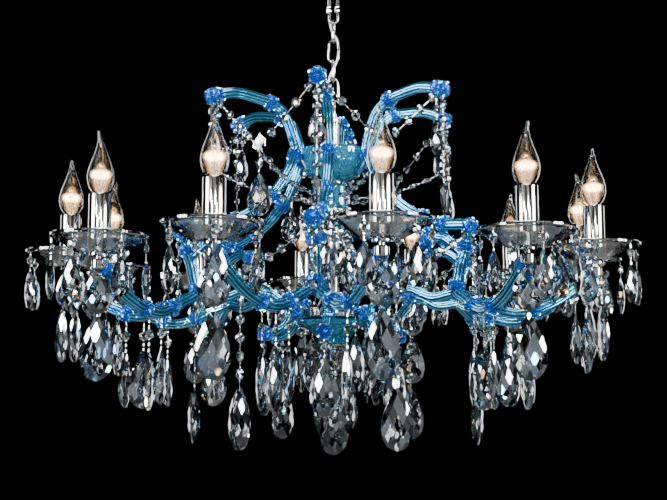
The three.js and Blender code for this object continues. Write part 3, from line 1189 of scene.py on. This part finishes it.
def bulb_shell():
    """The lamp's glass, with its inner wall."""
    outer = outline(BULB_OUTLINE, 1.6)
    inner = [(max(0.0, r - BULB_WALL), z - (0.8 if r < 4 else 0)) for r, z in reversed(outer)]
    shell = turned("bulb_shell", [(0, -409.5), *outer], BULB_GLASS, 40)
    inside = turned("bulb_inside", [*inner, (0, -408.5)], BULB_GLASS, 40)
    inside.data.flip_normals()
    for vertex in [*shell.data.vertices, *inside.data.vertices]:
        vertex.co = bent(vertex.co)
    return joined("bulb_glass_pattern", [shell, inside])


def filament_cage():
    """The hot wire zigzags round the glass stem."""
    zigzag = []
    for index in range(ZIGZAGS + 1):
        zigzag.append(polar(CAGE_RADIUS, 2 * math.pi * index / ZIGZAGS, CAGE_FOOT if index % 2 else CAGE_TOP))
    return bars("filament_pattern", [smooth(zigzag, 1.5)], 0.8, FILAMENT, 6)


def filament_supports():
    """Six hooks of bare wire stand round the stem and hold the zigzag."""
    hooks = [[polar(reach, index * math.pi / 3, height) for reach, height in SUPPORT] for index in range(6)]
    return bars("supports_pattern", hooks, 0.45, WIRE, 5)


SHELL = bulb_shell()
GLOW = turned("glow_pattern", outline(GLOW_OUTLINE, 1.2), GLARE_HALO, 24)
CAGE = filament_cage()
SUPPORTS = filament_supports()
STEM_GLASS = turned("stem_pattern", outline(STEM_OUTLINE, 1.2), BULB_GLASS, 16)
SLEEVE = turned("sleeve_pattern", SLEEVE_OUTLINE, NICKEL, 64)
CUP = turned("cup_pattern", CUP_OUTLINE, NICKEL, 32)
CAP = turned("cap_pattern", CAP_OUTLINE, BRASS, 24)


def lamp(number):
    """Dish, sleeve and bulb of one lamp, and the stones that hang from its dish and cup."""
    angle = lamp_angle(number)
    centre = polar(LAMP_CIRCLE, angle, 0)
    dish(number, centre)
    place = Matrix.Translation(centre * MM) @ Matrix.Rotation(LAMP_TURN * number, 4, "Z")
    holder = f"lamp_holder_{number}"
    bulb = f"bulb_{number}"
    for name, patterns, body, slot, nodes in (
        (f"{holder}_metal", [SLEEVE, CUP], "chandelier", "polished_nickel", [holder]),
        (f"{bulb}_glass", [SHELL, STEM_GLASS], bulb, "bulb_glass", [bulb]),
        # The filament's object also carries the painted glare halo
        (f"{bulb}_filament", [CAGE, SUPPORTS, GLOW], bulb, "bulb_glass", []),
        (f"{bulb}_cap", [CAP], bulb, "polished_nickel", []),
    ):
        settle(joined(name, [copy_to(pattern, name, place) for pattern in patterns]), body, slot, *nodes)

    jewels = Jewels()
    for index in range(DISH_HOLES):
        bearing = angle + (2 * index + 1) * math.pi / DISH_HOLES
        hole = centre + polar(HOLE_CIRCLE, bearing, HOLE_LEVEL)
        jewels.hang(hole, ["octagon", "small_almond"], bearing + math.pi / 2)
    if number in SIDE_LAMPS:
        for reach in SIDE_DROPS:
            jewels.hang(centre + polar(reach, angle, -497), ["octagon", "slim_almond"], angle, gap=13)
    else:
        jewels.hang(centre + UP * -496, ["upper_almond"], 0, gap=4)
        jewels.hang(centre + UP * -556, ["large_almond"], 0, gap=4)
    jewels.make(f"dish_{number}_jewels", "chandelier", seed=20 + number, spin=0.15)


# ---------------------------------------------------------------- chain and ceiling plate

def link_line(top, bottom, half_width, across):
    """Centre line of a link: two straight sides and two half circles. across is X or Y."""
    line = []
    for centre, first in ((top - half_width, 0), (bottom + half_width, math.pi)):
        for index in range(13):
            angle = first + math.pi * index / 12
            line.append(across * half_width * math.cos(angle) + UP * (centre + half_width * math.sin(angle)))
    return line


# Half widths of the two kinds of link, to the middle of the wire, and radii of the wire
LINK_REACH = 7.3
LINK_WIRE = 1.7
QUICK_LINK_REACH = 6.25
QUICK_LINK_WIRE = 2
NUT_OUTLINE = [(1.9, -92.2), (3.9, -92.2), (4.2, -91.5), (4.2, -82.9), (3.9, -82.2), (1.9, -82.2)]
PLATE_OUTLINE = [
    (0, 0), (59.2, 0), (60, -0.8), (59.5, -4), (54, -11), (40, -17.5), (22, -20.8), (8, -21.8), (0, -22),
]
PLATE_RING_HEIGHT = -33
PLATE_RING_RADIUS = 12


def chain():
    """The oval links, each a quarter turn from the last, and the quick link that carries them."""
    for index, (body, top, bottom) in enumerate(CHAIN[1:]):
        line = link_line(top, bottom, LINK_REACH, ALONG_X if index % 2 else ALONG_Y)
        link = bars(f"{body}_wire", [line], LINK_WIRE, NICKEL, 12, closed=True)
        settle(link, body, "polished_nickel", body)
    line = link_line(-40.2, -108.2, QUICK_LINK_REACH, ALONG_X)
    parts = [bars("quick_link_wire", [line], QUICK_LINK_WIRE, NICKEL, 12, closed=True)]
    for side in (-1, 1):
        nut = turned("nut", NUT_OUTLINE, NICKEL, 6)
        nut.data.transform(Matrix.Translation(ALONG_X * side * QUICK_LINK_REACH * MM))
        parts.append(nut)
    settle(joined("quick_link_metal", parts), "quick_link", "polished_nickel", "quick_link")


def ceiling_plate():
    """The pressed plate and the ring that the quick link hangs in."""
    plate = turned("ceiling_plate_pressing", outline(PLATE_OUTLINE, 1.5), NICKEL, 96)
    line = circle_line(PLATE_RING_HEIGHT, PLATE_RING_RADIUS, ALONG_X)
    ring = bars("plate_ring", [line], 2.5, NICKEL, 12, closed=True)
    settle(joined("ceiling_plate_metal", [plate, ring]), "ceiling", "polished_nickel", "ceiling_plate")


# ---------------------------------------------------------------- hanging crystal of the column

def icicle_strand(number):
    """A string of octagons that ends in an icicle; it swings on its own hook."""
    jewels = Jewels()
    jewels.hang(polar(188, group_angle(number), -248), ["octagon"] * 6 + ["icicle"], gap=5.5)
    jewels.make(f"icicle_strand_{number}_jewels", f"icicle_strand_{number}", f"icicle_strand_{number}",
                seed=50 + number)


# Rings of drops round the column: how many, turn in steps, distance, height, stones
COLUMN_RINGS = [
    (8, 0, 21, -392, ["octagon", "octagon", "small_almond"]),
    (6, 0.3, 47, -549, ["octagon", "large_almond"]),
    (4, 0.6, 25, -587, ["octagon", "octagon", "large_almond"]),
]


def column_jewels():
    """The drops on the column's collar, hub and finial, and the lowest one, which swings by itself."""
    jewels = Jewels()
    for count, turn, reach, height, kinds in COLUMN_RINGS:
        for index in range(count):
            jewels.hang(polar(reach, 2 * math.pi * (index + turn) / count, height), kinds, gap=6)
    jewels.make("column_jewels", "chandelier", seed=90)

    lowest = Jewels()
    lowest.hang(Vector((0, 0, -628)), ["octagon"], 0, gap=4)
    lowest.hang(Vector((0, 0, -655)), ["large_almond"], 0, gap=8)
    lowest.make("bottom_drop_jewels", "bottom_drop", "bottom_drop", seed=91)


ceiling_plate()
chain()
column()
column_ends()
for group in range(1, GROUPS + 1):
    branch(group)
    icicle_strand(group)
for number in range(1, LAMPS + 1):
    lamp(number)
column_jewels()
discard(*STONES.values(), ROSETTE, SHELL, CAGE, SUPPORTS, GLOW, STEM_GLASS, SLEEVE, CUP, CAP)


# ---------------------------------------------------------------- floor, light

# In metres
FLOOR_LEVEL = -2.65
FLOOR_RADIUS = 3.0
floor_shape = bmesh.new()
bmesh.ops.create_circle(floor_shape, cap_ends=True, segments=96, radius=FLOOR_RADIUS)
floor = from_bmesh("studio_floor", floor_shape, FLOOR, 0)
floor.data.transform(Matrix.Translation((0, 0, FLOOR_LEVEL)))

OBJECT_CENTRE = Vector((0, 0, -0.45))
HONEYCOMB = math.radians(70)


def softbox(name, turn, height, distance, width, tall, power, tint="#FFFFFF"):
    """A rectangular lamp aimed at the chandelier; turn is its bearing from the camera's side, in degrees.

    Its honeycomb keeps most of its light off the floor.
    """
    light = bpy.data.lights.new(name, "AREA")
    light.shape = "RECTANGLE"
    light.size = width
    light.size_y = tall
    light.energy = power
    light.spread = HONEYCOMB
    light.color = colour(tint)[:3]
    lamp_object = bpy.data.objects.new(name, light)
    bearing = math.radians(turn) + CAMERA_TURN
    lamp_object.location = (distance * math.sin(bearing), -distance * math.cos(bearing), height)
    aim = OBJECT_CENTRE - Vector(lamp_object.location)
    lamp_object.rotation_euler = aim.to_track_quat("-Z", "Y").to_euler()
    bpy.context.scene.collection.objects.link(lamp_object)


# Name, bearing, height, distance, width, length, power
SOFTBOXES = [
    ("left_softbox", -60, 0.1, 2.5, 1.0, 0.9, 20),
    ("right_softbox", 60, 0.1, 2.5, 1.0, 0.9, 18),
    ("top_softbox", 0, 2.2, 0.6, 1.1, 1.1, 12),
    ("front_strip", 0, 1.35, 2.2, 1.3, 0.16, 7),
    ("left_rim", -130, -0.1, 2.4, 0.6, 2.0, 3),
    ("right_rim", 130, -0.1, 2.4, 0.6, 2.0, 3),
]
# Small bare lamps that the facets show as sparks: bearing, height
SPARKLES = [(-28, 0.55), (-14, 0.35), (12, 0.55), (24, 0.35)]
# Cut crystal splits white light, which isn't traced: small tinted lamps give the facets their flashes
FLASHES = [(-42, -0.9, "#4FA8FF"), (-20, -1.5, "#FFC98A"), (18, -1.1, "#5CC8FF"), (38, -1.7, "#7DF0C8")]

for settings in SOFTBOXES:
    softbox(*settings)
for number, (turn, height) in enumerate(SPARKLES, 1):
    softbox(f"sparkle_{number}", turn, height, 3.0, 0.12, 0.12, 7)
for number, (turn, height, tint) in enumerate(FLASHES, 1):
    softbox(f"flash_{number}", turn, height, 2.4, 0.3, 0.3, 3.5, tint)


def dark_studio():
    """A black room whose far walls, on the front side, return a few dim grey patches."""
    world = bpy.data.worlds.new("dark_studio")
    bpy.context.scene.world = world
    world.use_nodes = True
    tree = world.node_tree
    tree.nodes.clear()
    direction = put(tree, "ShaderNodeTexCoord").outputs["Generated"]
    behind = (math.sin(CAMERA_TURN), -math.cos(CAMERA_TURN), 0.25)
    ahead = put(tree, "ShaderNodeVectorMath", {0: direction, 1: behind}, operation="DOT_PRODUCT")
    near = put(tree, "ShaderNodeMapRange", {
        "Value": ahead.outputs["Value"], "From Min": -0.15, "From Max": 0.7,
    })
    patches = put(tree, "ShaderNodeTexNoise", {"Vector": direction, "Scale": 3.2, "Detail": 1.0})
    walls = put(tree, "ShaderNodeMapRange", {
        "Value": patches.outputs["Fac"], "From Min": 0.47, "From Max": 0.6, "To Max": 0.8,
    })
    light = put(tree, "ShaderNodeMath", {
        0: near.outputs["Result"], 1: walls.outputs["Result"],
    }, operation="MULTIPLY")
    room = put(tree, "ShaderNodeBackground", {"Color": colour("#E8EEF5"), "Strength": light.outputs[0]})
    put(tree, "ShaderNodeOutputWorld", {"Surface": room.outputs["Background"]})


dark_studio()
